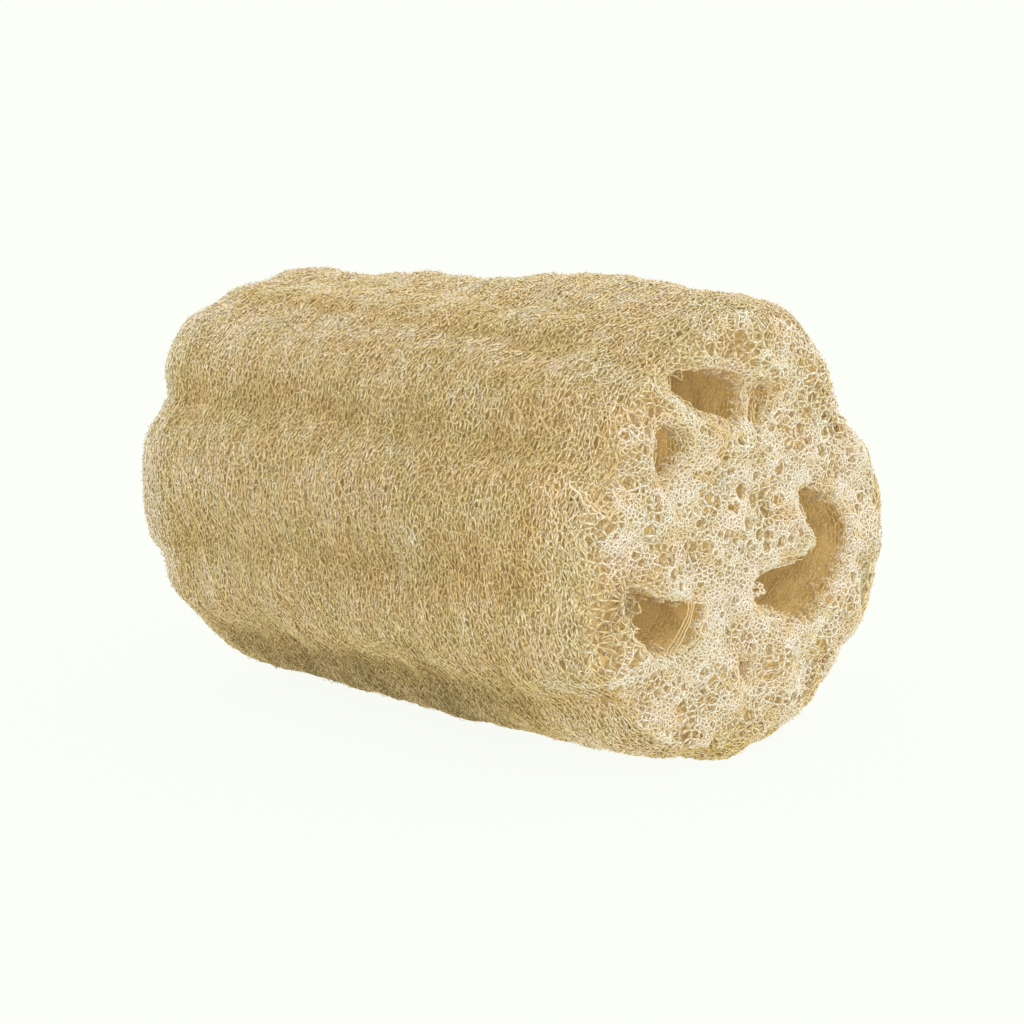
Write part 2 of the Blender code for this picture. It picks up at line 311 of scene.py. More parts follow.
# scattered points in staggered rows, cell[0] apart along the first axis and cell[1] along the second
def scatter(low, high, cell, stray, rng, wrap=False):
    rows = int(round((high[0] - low[0]) / cell[0]))
    columns = int(round((high[1] - low[1]) / cell[1]))
    i, j = np.meshgrid(np.arange(rows), np.arange(columns), indexing="ij")
    size = np.array([(high[0] - low[0]) / rows, (high[1] - low[1]) / columns])
    grid = np.stack([i + 0.5, j + 0.5 * (i % 2)], -1).reshape(-1, 2)
    points = (grid + rng.uniform(-stray, stray, (rows * columns, 2))) * size + low
    if wrap:  # a band of copies past each edge closes the net round the girth
        span, edge = high[1] - low[1], 5 * cell[1]
        points[:, 1] = low[1] + (points[:, 1] - low[1]) % span
        before, after = points[points[:, 1] > high[1] - edge], points[points[:, 1] < low[1] + edge]
        points = np.vstack([points, before - [0, span], after + [0, span]])
    return points


# strands: a three-sided profile carried along each path, closed at both ends. paths is (strand, step, xyz).
def carryAlong(paths, thick, tone, grain, facing):
    strands, steps = paths.shape[:2]
    ahead = unit(np.gradient(paths, axis=1))
    across = unit(np.cross(ahead, facing))
    up = np.cross(across, ahead)
    turn = np.radians([90, 210, 330])
    ring = np.cos(turn)[:, None] * across[:, :, None] + np.sin(turn)[:, None] * up[:, :, None]
    verts = paths[:, :, None] + ring * thick[:, :, None, None]
    uv = np.stack(np.broadcast_arrays(tone[:, :, None], grain[:, :, None] + 0.02 * np.arange(3)), -1)
    base = (np.arange(strands) * steps * 3)[:, None, None, None]
    step = (np.arange(steps - 1) * 3)[None, :, None, None]
    k = np.arange(3)
    quads = base + step + np.stack([k, (k + 1) % 3, (k + 1) % 3 + 3, k + 3], -1)[None, None]
    tris = np.concatenate([quads[..., [0, 1, 2]].reshape(-1, 3), quads[..., [0, 2, 3]].reshape(-1, 3)])
    first = base.reshape(-1, 1)
    caps = np.concatenate([first + [0, 2, 1], first + (steps - 1) * 3 + [0, 1, 2]])
    return verts.reshape(-1, 3), np.concatenate([tris, caps]), uv.reshape(-1, 2)


# short strands from a to b: each is four triangles between two crossed edges, (across + up) / sqrt 2 at
# one end and (across - up) / sqrt 2 at the other, so that it looks equally wide all along from outside
def shortStrands(a, b, facing, thick, tone, grain):
    ahead = b - a
    across = unit(np.cross(ahead, facing))
    up = unit(np.cross(across, ahead))
    first = (across + up) * (thick / math.sqrt(2))[:, None]
    last = (across - up) * (thick / math.sqrt(2))[:, None]
    past = unit(ahead) * (thick * 0.4)[:, None]
    verts = np.stack([a - past + first, a - past - first, b + past + last, b + past - last], 1)
    four = np.array([(0, 1, 2), (0, 3, 1), (0, 2, 3), (1, 3, 2)])
    tris = four[None] + (np.arange(len(a)) * 4)[:, None, None]
    uv = np.stack([tone[:, None] + np.zeros(4), grain[:, None] + np.array([0, 0, 0.05, 0.05])], -1)
    return verts.reshape(-1, 3), tris.reshape(-1, 3), uv.reshape(-1, 2)


# puts strand sets together as one mesh, with tone and grain as its uv map
def addPiece(name, parts, material):
    starts = np.cumsum([0] + [len(part[0]) for part in parts])
    verts = np.concatenate([part[0] for part in parts])
    tris = np.concatenate([part[1] + start for part, start in zip(parts, starts)])
    uv = np.concatenate([part[2] for part in parts])
    mesh = bpy.data.meshes.new(name)
    mesh.vertices.add(len(verts))
    mesh.vertices.foreach_set("co", (verts * mm).astype(np.float32).ravel())
    mesh.loops.add(tris.size)
    mesh.loops.foreach_set("vertex_index", tris.astype(np.int32).ravel())
    mesh.polygons.add(len(tris))
    mesh.polygons.foreach_set("loop_start", np.arange(0, tris.size, 3, dtype=np.int32))
    mesh.update(calc_edges=True)
    mesh.shade_smooth()
    layer = mesh.uv_layers.new(name="OFBake")
    layer.uv.foreach_set("vector", np.clip(uv, 0.002, 0.998)[tris.ravel()].astype(np.float32).ravel())
    mesh.materials.append(material)
    made = bpy.data.objects.new(name, mesh)
    bpy.context.scene.collection.objects.link(made)
    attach(made, "root")
    print(name, len(tris), "triangles")
    return made


# materials

# light and dark straw: the uv map's first axis is how pale a strand is, its second is where along it
fibreColours = {
    "deep": (0.42, 0.30, 0.10, 1),
    "gold": (0.695, 0.515, 0.21, 1),
    "straw": (0.825, 0.675, 0.355, 1),
    "cream": (0.865, 0.76, 0.535, 1),
    "white": (0.93, 0.88, 0.76, 1),
    "stops": ((0.33, "gold"), (0.66, "straw"), (0.84, "cream")),
    "roughness": 0.82,
    "gloss": 0.25,
    "streaks": 0.10,
    "streakSize": 9.0,
    "through": (1.0, 0.76, 0.42, 1),  # painted glow: an emission colour that stands in for light coming through the fibre itself
    # painted glow of the cut fibre, also an emission colour
    "cutGlow": (1.0, 0.87, 0.66, 1),
    "olive": (0.975, 1.0, 0.96, 1),
    "reddish": (1.015, 0.99, 0.97, 1),
    "drift": 130.0,
    "warm": (1.045, 1.02, 0.92, 1),  # the side turns warmer towards the front end
    "warmAlong": (0.018, 0.046),  # from this x to this x
    "warmUp": (0.048, 0.068),  # and less so from this height to this height
}
# painted shade: fibre near the floor is darker, down to the share least, but less so towards both ends,
# between these distances by x from middle
lowShade = {"up": (0.003, 0.017), "least": 0.66, "middle": -0.008, "ends": (0.022, 0.042)}


# adds a node and fills its inputs: each is a number, a colour or another node's output
def addNode(tree, kind, inputs, operation=None):
    node = tree.nodes.new("ShaderNode" + kind)
    if kind == "Mix":
        node.data_type = "RGBA"
    if operation:
        node.operation = operation
    for key, value in inputs.items():
        if isinstance(value, bpy.types.NodeSocket):
            tree.links.new(value, node.inputs[key])
        else:
            node.inputs[key].default_value = value
    return node


# a sum, product or other operation on numbers
def addMath(tree, operation, first, second=0.5):
    return addNode(tree, "Math", {0: first, 1: second}, operation).outputs["Value"]


# value goes from low..high to atLow..atHigh, and stays there beyond
def addRange(tree, value, low, high, atLow=0.0, atHigh=1.0):
    inputs = {"Value": value, "From Min": low, "From Max": high, "To Min": atLow, "To Max": atHigh}
    return addNode(tree, "MapRange", inputs)


# a colour between a and b, at share of the way
def addMix(tree, share, a, b):
    return addNode(tree, "Mix", {"Factor": share, "A": a, "B": b}).outputs["Result"]


# one colour times another, channel by channel
def addTint(tree, colour, tint):
    return addNode(tree, "VectorMath", {0: colour, 1: tint}, "MULTIPLY").outputs["Vector"]


# a colour times one number
def addScale(tree, colour, share):
    return addNode(tree, "VectorMath", {0: colour, "Scale": share}, "SCALE").outputs["Vector"]


# where the surface is, in metres
def addPlace(tree):
    return addNode(tree, "TexCoord", {}).outputs["Object"]


# x, y and z of a vector
def addSplit(tree, vector):
    return addNode(tree, "SeparateXYZ", {"Vector": vector}).outputs


# cloudy noise: its node, as the noise has a grey and a coloured output
def addNoise(tree, vector, size, detail=2.0):
    return addNode(tree, "TexNoise", {"Vector": vector, "Scale": size, "Detail": detail})


# small relief in the normals, from a height of 0 to 1
def addRelief(tree, height, strength, distance):
    inputs = {"Height": height, "Strength": strength, "Distance": distance}
    return addNode(tree, "Bump", inputs).outputs["Normal"]


# an empty material with its roughness, its gloss and an emission colour and strength; on the fibre, mat and
# wall this is a painted glow that stands in for light coming through them
def newMaterial(name, roughness, gloss, through, glowShare):
    material = bpy.data.materials.new(name)
    material.use_nodes = True
    inputs = material.node_tree.nodes["Principled BSDF"].inputs
    inputs["Roughness"].default_value = roughness
    inputs["Specular IOR Level"].default_value = gloss
    inputs["Emission Color"].default_value = through
    # painted glow: the emission strength
    inputs["Emission Strength"].default_value = glowShare
    return material, material.node_tree, inputs


# multiplies a colour by a slow drift between olive and reddish
def addDrift(tree, colour):
    noise = addNoise(tree, addPlace(tree), fibreColours["drift"], 1.0).outputs["Fac"]
    share = addRange(tree, noise, 0.38, 0.62).outputs["Result"]
    return addTint(tree, colour, addMix(tree, share, fibreColours["olive"], fibreColours["reddish"]))


# multiplies a colour by a warm tint that grows towards the front end, and by a painted shade that grows
# towards the floor
def addShade(tree, colour):
    split = addSplit(tree, addPlace(tree))
    least = lowShade["least"]
    # painted shade: darker near the floor, less so towards both ends
    low = addRange(tree, split["Z"], *lowShade["up"], least)
    low.interpolation_type = "SMOOTHSTEP"
    off = addMath(tree, "ABSOLUTE", addMath(tree, "SUBTRACT", split["X"], lowShade["middle"]))
    ends = addRange(tree, off, *lowShade["ends"], least)
    lighter = addMath(tree, "MAXIMUM", low.outputs["Result"], ends.outputs["Result"])
    front = addRange(tree, split["X"], *fibreColours["warmAlong"])
    lower = addRange(tree, split["Z"], *fibreColours["warmUp"], 1.0, 0.0)
    share = addMath(tree, "MULTIPLY", front.outputs["Result"], lower.outputs["Result"])
    warmer = addTint(tree, colour, addMix(tree, share, (1, 1, 1, 1), fibreColours["warm"]))
    return addScale(tree, warmer, lighter)


# colour: a ramp from deep gold to white over the uv map's first axis, times faint streaks along a strand
# through and its share set a painted glow, an emission; low adds the painted shade near the floor
def fibreMaterial(name, through, glowShare, low):
    colours = fibreColours
    material, tree, inputs = newMaterial(name, colours["roughness"], colours["gloss"],
                                         through, glowShare)
    place = addNode(tree, "UVMap", {})
    place.uv_map = "OFBake"
    ramp = addNode(tree, "ValToRGB", {"Fac": addSplit(tree, place.outputs["UV"])["X"]})
    ramp.color_ramp.elements[0].color = colours["deep"]
    ramp.color_ramp.elements[1].color = colours["white"]
    for at, key in colours["stops"]:
        ramp.color_ramp.elements.new(at).color = colours[key]
    streak = addNoise(tree, place.outputs["UV"], colours["streakSize"], 4.0).outputs["Fac"]
    weak, strong = 1 - colours["streaks"], 1 + colours["streaks"] * 0.5
    shade = addRange(tree, streak, 0.3, 0.7, weak, strong).outputs["Result"]
    colour = addDrift(tree, addScale(tree, ramp.outputs["Color"], shade))
    tree.links.new(addShade(tree, colour) if low else colour, inputs["Base Color"])
    return material


# the mat under the strands: cells drawn by the distance to their edges, thin along the length and long round
# the girth, over golden patches. The dark gap colour of the cells' floors is painted shade of the depth
# between the strands.
matColours = {
    # painted shade: the dark floor of each drawn cell
    "gap": (0.26, 0.19, 0.06, 1),
    "strand": (0.54, 0.42, 0.19, 1),
    "warm": (0.46, 0.34, 0.125, 1),
    "paintedLight": (0.76, 0.61, 0.31, 1),  # painted light: a paler colour towards the top and beside the cut ends
    "paintedLightTop": (0.052, 0.074, 0.0, 0.4),  # height where it starts, height where it ends, its share at each
    "paintedLightRim": (0.044, 0.050, 0.0, 0.4),  # the same by x
    "spots": 550.0,
    "cells": ((900.0, 430.0, 430.0), (520.0, 300.0, 300.0)),
    "roughness": 0.9,
    "gloss": 0.2,
    # painted glow: the mat's emission stands in for light coming through it
    "through": (1.0, 0.72, 0.32, 1),
    "glowShare": 0.12,
}


# colour: strands at the cells' edges over gaps and warm spots, with painted light making it paler towards the
# top and the rims
def matMaterial():
    colours = matColours
    material, tree, inputs = newMaterial("matted fibre", colours["roughness"], colours["gloss"],
                                         colours["through"], colours["glowShare"])
    place = addPlace(tree)
    wobble = addNoise(tree, place, 260.0).outputs["Color"]
    bend = addNode(tree, "VectorMath", {0: wobble, 1: (0.0022, 0.0022, 0.0022), 2: place}, "MULTIPLY_ADD")
    edges = []
    for size in colours["cells"]:
        spread = addNode(tree, "Mapping", {"Vector": bend.outputs["Vector"], "Scale": size})
        cell = addNode(tree, "TexVoronoi", {"Vector": spread.outputs["Vector"], "Scale": 1.0})
        cell.feature = "DISTANCE_TO_EDGE"
        edges.append(addRange(tree, cell.outputs["Distance"], 0.03, 0.26, 1.0, 0.0).outputs["Result"])
    both = addMath(tree, "MAXIMUM", *edges)
    spot = addRange(tree, addNoise(tree, place, colours["spots"]).outputs["Fac"], 0.42, 0.58)
    # painted shade: the cells' floors between the drawn strands are dark
    floorTone = addMix(tree, spot.outputs["Result"], colours["gap"], colours["warm"])
    colour = addMix(tree, both, floorTone, colours["strand"])
    split = addSplit(tree, place)
    # painted light: paler towards the top and beside the rims
    top = addRange(tree, split["Z"], *colours["paintedLightTop"]).outputs["Result"]
    rim = addRange(tree, addMath(tree, "ABSOLUTE", split["X"]), *colours["paintedLightRim"]).outputs["Result"]
    colour = addMix(tree, addMath(tree, "MAXIMUM", top, rim), colour, colours["paintedLight"])
    tree.links.new(addShade(tree, addDrift(tree, colour)), inputs["Base Color"])
    tree.links.new(addRelief(tree, both, 0.9, 0.0006), inputs["Normal"])
    return material


# the walls of the seed channels: gold with fine streaks across the length, with a painted glow, an emission
# that stands in for light coming through them
wallColours = {
    "dark": (0.50, 0.365, 0.11, 1),
    "light": (0.93, 0.76, 0.39, 1),
    "streaks": (1300.0, 300.0, 300.0),
    "patches": 210.0,
    "roughness": 0.9,
    "gloss": 0.2,
    # painted glow: the wall's emission stands in for light coming through it
    "through": (1.0, 0.69, 0.27, 1),
    "glowShare": 0.13,
    "deep": (0.037, 0.053, 0.62, 1.0),  # painted shade by x: walls are darkest up to here, palest from here, their shares
}


# colour: a ramp over the mean of fine streaks and larger patches, darkened with depth by painted shade
def wallMaterial():
    colours = wallColours
    material, tree, inputs = newMaterial("channel wall", colours["roughness"], colours["gloss"],
                                         colours["through"], colours["glowShare"])
    place = addPlace(tree)
    spread = addNode(tree, "Mapping", {"Vector": place, "Scale": colours["streaks"]})
    streak = addNoise(tree, spread.outputs["Vector"], 1.0, 4.0).outputs["Fac"]
    patch = addNoise(tree, place, colours["patches"]).outputs["Fac"]
    mean = addMath(tree, "MULTIPLY", addMath(tree, "ADD", streak, patch))
    ramp = addNode(tree, "ValToRGB", {"Fac": mean})
    for stop, key, at in zip(ramp.color_ramp.elements, ("dark", "light"), (0.40, 0.57)):
        stop.color = colours[key]
        stop.position = at
    # painted shade: the wall darkens deeper into the channel
    off = addMath(tree, "ABSOLUTE", addSplit(tree, place)["X"])
    deep = addRange(tree, off, *colours["deep"]).outputs["Result"]
    tree.links.new(addScale(tree, ramp.outputs["Color"], deep), inputs["Base Color"])
    tree.links.new(addRelief(tree, streak, 0.6, 0.0004), inputs["Normal"])
    return material


# each fibre material has a painted glow, its emission strength
fibre = fibreMaterial("straw fibre", fibreColours["through"], 0.07, True)
cutFibre = fibreMaterial("cut fibre", fibreColours["cutGlow"], 0.13, False)
liningFibre = fibreMaterial("lining fibre", fibreColours["through"], 0.16, False)
mat = matMaterial()
wall = wallMaterial()
print("materials made")


# the matted body under the strands

body = {"sideDepth": 1.15, "endDepth": 2.3, "capShare": 0.95, "around": 168, "along": 74, "capStep": 1.6,
        "grow": 0.9, "wallStep": 1.3, "wallRows": 26, "pitRows": 5, "pitNarrow": 0.6}


# the cap of a cut end: triangles over its outline less the holes, lifted onto the end's curve
def endCap(rim, rings, end):
    rng = np.random.default_rng(21 + end)
    reach = np.abs(rim).max() + 1
    step = body["capStep"]
    inner = scatter((-reach, -reach), (reach, reach), (step * 0.87, step), 0.25, rng)
    keep = inside(inner, rim) & (offOutline(inner, rim) > step * 0.6)
    for ring in rings:
        keep &= ~inside(inner, ring) & (offOutline(inner, ring) > step * 0.5)
    loops = [rim] + rings
    points = np.vstack(loops + [inner[keep]])
    edges, count = [], 0
    for loop in loops:
        k = np.arange(len(loop))
        edges.append(np.stack([k, (k + 1) % len(loop)], -1) + count)
        count += len(loop)
    out = delaunay_2d_cdt(points.tolist(), np.concatenate(edges).tolist(), [], 0, 1e-7)
    assert len(out[0]) == len(points)
    triangles = np.array(out[2])
    middle = points[triangles].mean(1)
    keep = inside(middle, rim)
    for ring in rings:
        keep &= ~inside(middle, ring)
    triangles = triangles[keep]
    side = points[triangles]
    b, c = side[:, 1] - side[:, 0], side[:, 2] - side[:, 0]
    flip = (b[:, 0] * c[:, 1] - b[:, 1] * c[:, 0]) * end < 0
    triangles[flip] = triangles[flip][:, ::-1]
    return points, triangles


# two triangles for each square of a grid of point numbers
def gridTriangles(a, b, c, d):
    return [np.stack([a, b, c], -1).reshape(-1, 3), np.stack([a, c, d], -1).reshape(-1, 3)]


# the barrel from one cap's rim to the other's on a grid, a cap on each end, and between the caps' holes
# the walls of the channels: straight lines from each point of a hole's ring to the same point far in
def makeBody():
    around = body["around"]
    angle = np.arange(around) * 2 * math.pi / around
    runStart = runAt(body["capShare"])
    run = np.linspace(runStart, total - runStart, body["along"])
    level = np.interp(run, profile["run"], np.abs(profile["nx"]))
    depth = body["sideDepth"] + (body["endDepth"] - body["sideDepth"]) * level
    sidePoints = onBarrel(run[:, None], angle[None], depth[:, None])
    i, j = np.meshgrid(np.arange(len(run) - 1), np.arange(around), indexing="ij")
    a, b = i * around + j, i * around + (j + 1) % around
    verts, tris = [sidePoints.reshape(-1, 3)], gridTriangles(a, b, b + around, a + around)
    count = len(run) * around
    loops = {}
    for end in (1, -1):
        row = 0 if end == 1 else len(run) - 1
        rim = sidePoints[row, :, 1:] - np.array(axisAt(end * halfLength))
        shift = holesAt(end)[1]
        names = bored if end == 1 else through
        cut = [(holes[name]["outline"], holes[name].get("grow", body["grow"])) for name in names]
        rings = [smoothOutline(outline, body["wallStep"], grow, 1) + shift for outline, grow in cut]
        flat, triangles = endCap(rim, rings, end)
        place = onEnd(flat, body["endDepth"], end)
        place[:around] = sidePoints[row]
        index = np.arange(len(flat)) + count - around
        index[:around] = np.arange(around) + row * around
        verts.append(place[around:])
        tris.append(index[triangles])
        at = around
        for name, ring in zip(names, rings):
            loops[name, end] = (index[at:at + len(ring)], place[at:at + len(ring)])
            at += len(ring)
        count += len(flat) - around
    outside = 2 * a.size  # the caps and the walls have the walls' material, and the side has the mat's
    for name in bored:
        start, near = loops[name, 1]
        if name in through:
            steps = body["wallRows"]
            stop, far = loops[name, -1]
        else:
            steps = body["pitRows"]
            far = near.copy()
            far[:, 0] = halfLength - holes[name]["depth"]
            centre = far.mean(0)
            far[:, 1:] = centre[1:] + (far[:, 1:] - centre[1:]) * body["pitNarrow"]
            k = np.arange(len(far))
            stop = k + count
            verts += [far, centre[None]]
            count += len(far) + 1
            tris.append(np.stack([stop, stop[(k + 1) % len(k)], np.full(len(k), count - 1)], -1))
        share = np.linspace(0, 1, steps + 1)[1:-1, None, None]
        verts.append((near * (1 - share) + far * share).reshape(-1, 3))
        between = (np.arange((steps - 1) * len(near)) + count).reshape(steps - 1, -1)
        count += between.size
        rows = np.vstack([start[None], between, stop[None]])
        after = np.roll(rows, -1, axis=1)
        tris += gridTriangles(rows[:-1], rows[1:], after[1:], after[:-1])
    verts, tris = np.concatenate(verts), np.concatenate(tris)
    made = addPiece("matted_body", [(verts, tris, np.zeros((len(verts), 2)))], mat)
    made.data.uv_layers.remove(made.data.uv_layers["OFBake"])
    made.data.materials.append(wall)
    made.data.polygons.foreach_set("material_index", (np.arange(len(tris)) >= outside).astype(np.int32))
    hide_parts("loofah")


makeBody()


# the net over the ribs

ribNet = {
    "share": 0.86, "palest": 0.84,  # how far in over each end it reaches, as a share of the radius
    # painted shade: deeper layers have darker, more golden tones
    "layers": (
        {"name": "outer", "cell": (0.84, 2.25), "depth": 0.28, "spread": 0.14, "thick": 0.155,
         "tone": 0.69},
        {"name": "middle", "cell": (1.0, 2.0), "depth": 0.45, "spread": 0.16, "thick": 0.16, "tone": 0.50},
        {"name": "inner", "cell": (1.1, 2.6), "depth": 0.70, "spread": 0.16, "thick": 0.17, "tone": 0.30},
    ),
}
# how pale a place is: slow patches, painted light that makes it paler towards the cut ends, and painted shade
# that makes it golden in the grooves
tones = {
    # angle, change, half width in degrees: painted highlights on the crests and painted shade lines along the
    # whole side
    "crests": ((127, 0.08, 5), (119, -0.14, 3), (98, 0.10, 10), (171, 0.04, 7), (200, 0.03, 6),
               (228, -0.12, 8), (350, 0.20, 50)),
    "patch": 0.05, "patchSize": 16.0, "fine": 0.08, "fineSize": 5.0, "jump": 0.11,
    # x, angle, half length, half width in degrees, change: brown and pale patches of the side
    "patches": ((11, 131, 9, 4, -0.10), (30, 135, 9, 5, -0.13), (42, 142, 6, 5, -0.15),
                (18, 171, 6, 7, -0.10), (31, 181, 7, 6, -0.10), (43, 176, 4, 12, -0.08),
                (-12, 149, 9, 4, -0.13), (-27, 151, 6, 4, -0.11), (-45, 154, 4, 5, -0.12),
                (-32, 134, 14, 8, 0.09), (4, 160, 6, 5, 0.05), (-30, 178, 9, 9, 0.05),
                (46, 240, 10, 26, 0.26), (47, 190, 6, 30, 0.10), (-54, 130, 7, 60, 0.26),
                (-54, 195, 6, 35, 0.26)),
    # painted light, a pale band beside each cut end: x, half width, change, angle where it is palest and how
    # far round
    "rimBand": (49.0, 4.2, 0.30, 195, 50),
    # painted shade, a dark band underneath: change, x where it ends at the front and at the back and how
    # slowly
    "under": (-0.42, 36, 22, -50, 20),
    "groove": -0.035,  # painted shade: change for each millimetre of a groove's two depths
    "upper": 0.08,  # painted light and shade: more for what faces up, less for what faces down
}
# the slow waves of tone: one run for the side, one for the cut ends and one for the channels
slowSeed, endSeed, liningSeed = 40, 44, 47


# darker gold as painted shade in the long grooves and underneath, painted light on what faces up, painted
# highlights and shade lines at the crests, pale and brown patches, and painted light as a paler band by each
# rim. Each is a bell-shaped change of tone.
def groovePale(points):
    x = points[..., 0]
    angle = np.arctan2(points[..., 2] - barrel["axisHeight"], points[..., 1] - barrel["axisSide"])
    along = x / barrel["length"]
    change, front, frontFade, back, backFade = tones["under"]
    fade = np.clip((front - x) / frontFade, 0, 1) * np.clip((x - back) / backFade, 0, 1)
    # painted light on what faces up, and painted shade underneath
    pale = tones["upper"] * np.sin(angle)
    pale = pale + change * fade * np.clip((-0.5 - np.sin(angle)) / 0.42, 0, 1) ** 1.5
    # painted shade in the grooves
    for middle, back, front, halfWidth, twist in barrel["grooves"]:
        deep = tones["groove"] * (back + front)
        pale = pale + deep * bell(angle, middle + twist * along, halfWidth * 0.7)
    # painted highlights and shade lines at the crests
    for middle, lift, halfWidth in tones["crests"]:
        pale = pale + lift * bell(angle, middle, halfWidth)
    for place, middle, halfReach, halfWidth, lift in tones["patches"]:
        pale = pale + lift * bell(angle, middle, halfWidth, ((x - place) / halfReach) ** 2)
    # painted light: a pale band by each rim
    band, halfWidth, lift, middle, halfTurn = tones["rimBand"]
    lift = lift * (0.3 + 0.7 * bell(angle, middle, halfTurn))
    return pale + lift * np.exp(-((np.abs(x) - band) / halfWidth) ** 2)


# base, with slow and fine waves of tone added
def toneAt(points, base, seed):
    slow = waves(points, tones["patchSize"], seed) * tones["patch"]
    fine = waves(points, tones["fineSize"], seed + 1) * tones["fine"]
    return base + slow + fine


# each link of a net as a short strand, of its own thickness and tone
def linksToStrands(a, b, facing, thick, tone, seed):
    middle = (a + b) / 2
    size = thick * (1 + 0.3 * jumps(middle, seed + 9))
    pale = np.clip(tone + tones["jump"] * jumps(middle * 1.37, seed + 5), 0.02, 0.98)
    return shortStrands(a, b, facing, size, pale, 0.5 + 0.45 * jumps(middle * 0.73, seed + 13))


# one layer: a net over the unrolled side, with larger cells where fewer points are kept, wound back onto
# the barrel at an angle of its place round the girth / radius, each knot sunk by its own depth
def ribLayer(layer, seed):
    rng = np.random.default_rng(seed)
    radius = barrel["radius"]
    girth = 2 * math.pi * radius
    runStart = runAt(ribNet["share"])
    low, high = (runStart, 0.0), (total - runStart, girth)
    cell = layer["cell"]
    points = scatter(low, high, (cell[0] * 0.88, cell[1] * 0.88), 0.45, rng, wrap=True)
    turn = points[:, 1] / radius
    circle = np.column_stack([points[:, 0], radius * np.cos(turn), radius * np.sin(turn)])
    chance = 0.5 + 0.5 * jumps(np.round(circle, 3), seed + 2)
    points = points[chance < 0.80 + 0.24 * waves(circle, 4.5, seed + 3)]
    knots, links = netBetween(points, (1.0, cell[0] / cell[1]))
    links = linksInBand(knots, links, low[0], high[0], girth, 4)
    angle = knots[:, 1] / radius - math.pi / 2
    wrapped = np.stack([knots[:, 0], np.round(knots[:, 1] % girth, 4)], -1)
    place = onBarrel(knots[:, 0], angle, layer["depth"] + layer["spread"] * jumps(wrapped, seed))
    a, b = place[links[:, 0]], place[links[:, 1]]
    middle = (a + b) / 2
    facing = middle - np.array([0, barrel["axisSide"], barrel["axisHeight"]])
    facing[:, 0] = np.sign(middle[:, 0]) * np.maximum(0, np.abs(middle[:, 0]) - 45) * 4
    tone = np.minimum(toneAt(middle, layer["tone"], slowSeed) + groovePale(middle), ribNet["palest"])
    return a, b, unit(facing), tone, layer["thick"] * (1 + 0.3 * waves(middle, 2.6, seed + 4))


# each layer in two pieces, left and right of the axis
def makeRibNet():
    for number, layer in enumerate(ribNet["layers"]):
        sets = ribLayer(layer, 60 + number)
        left = sets[0][:, 1] < barrel["axisSide"]
        for word, pick in (("left", left), ("right", ~left)):
            a, b, facing, tone, thick = [values[pick] for values in sets]
            strands = linksToStrands(a, b, facing, thick, tone, 70 + number)
            addPiece(f"rib_net_{layer['name']}_{word}", [strands], fibre)


makeRibNet()


# strands that wander round the girth, crossing and parting so that slits stand open between them

girthStrands = {"share": 0.80, "gap": 2.4, "step": 1.1, "wander": 0.4, "curl": 3.6, "depth": 0.36,
                "spread": 0.2, "thick": 0.11, "tone": 0.56}


# rings round the barrel, gap apart, whose running length, depth, tone and thickness follow slow waves
def makeGirthStrands():
    rng = np.random.default_rng(80)
    radius, curl = barrel["radius"], girthStrands["curl"]
    runStart = runAt(girthStrands["share"])
    strands = int(round((total - 2 * runStart) / girthStrands["gap"]))
    steps = int(round(2 * math.pi * radius / girthStrands["step"])) + 1
    angle = (np.linspace(0, 2 * math.pi, steps) - math.pi / 2)[None].repeat(strands, 0)
    number = (np.arange(strands) * 31.7)[:, None].repeat(steps, 1)
    circle = np.stack([radius * np.cos(angle), radius * np.sin(angle), number], -1)
    run = (np.arange(strands) + 0.5 + rng.uniform(-0.3, 0.3, strands))[:, None] * girthStrands["gap"]
    run = runStart + run + waves(circle, curl, 80) * girthStrands["wander"] * girthStrands["gap"]
    depth = girthStrands["depth"] + girthStrands["spread"] * waves(circle, curl * 1.2, 81)
    paths = onBarrel(run, angle, depth)
    facing = onBarrel(run, angle, depth - 1.0) - paths
    tone = toneAt(paths, girthStrands["tone"], slowSeed) + groovePale(paths)
    tone = tone + 0.05 * rng.normal(size=(strands, 1)) + 0.07 * waves(circle, 2.6, 82)
    thick = girthStrands["thick"] * (1 + 0.22 * waves(circle, 2.2, 83))
    grain = rng.uniform(0.1, 0.9, (strands, 1)) + 0.08 * np.sin(angle * 40)
    strand = carryAlong(paths, thick, np.clip(tone, 0.02, 0.98), grain, facing)
    addPiece("girth_strands_outer_1", [strand], fibre)


makeGirthStrands()


# the foam of strands on the cut ends

endNet = {
    "share": 0.90,
    # piece, depth, spread of depth, smallest and largest cell, strand radius, tone, pattern: layers of one
    # pattern have their cells one behind the other, which makes deep pores
    # painted shade: deeper layers have darker, more golden tones
    "layers": (("outer", 0.12, 0.3, 0.8, 2.2, 0.185, 0.875, 1),
               ("outer", 0.5, 0.3, 0.8, 2.2, 0.19, 0.775, 1),
               ("inner", 0.9, 0.3, 1.0, 2.4, 0.22, 0.66, 2),
               ("inner", 1.4, 0.3, 1.2, 2.4, 0.24, 0.42, 3)),
    "poreShare": {1: 1.0, 2: 0.9, 3: 0.6},  # how wide the round pores are in each pattern
    "holeEdge": 2.6,  # cells are finest and palest within this of a hole
    "ragged": 0.85,  # how far its edge strays at the holes
    # (y, z, radius) where the inner layers run on over a hole's corner
    "veils": ((-24.2, -9.0, 3.2), (-16.2, 24.6, 2.0), (16.8, 1.2, 1.3), (18.8, -3.4, 1.2),
              (6.2, -9.4, 1.2)),
    "veilDown": 1.0,  # and sag no further than this
    "dip": 1.3,  # the net sinks this much where it bends into a hole
    "dipWidth": 0.7,
}
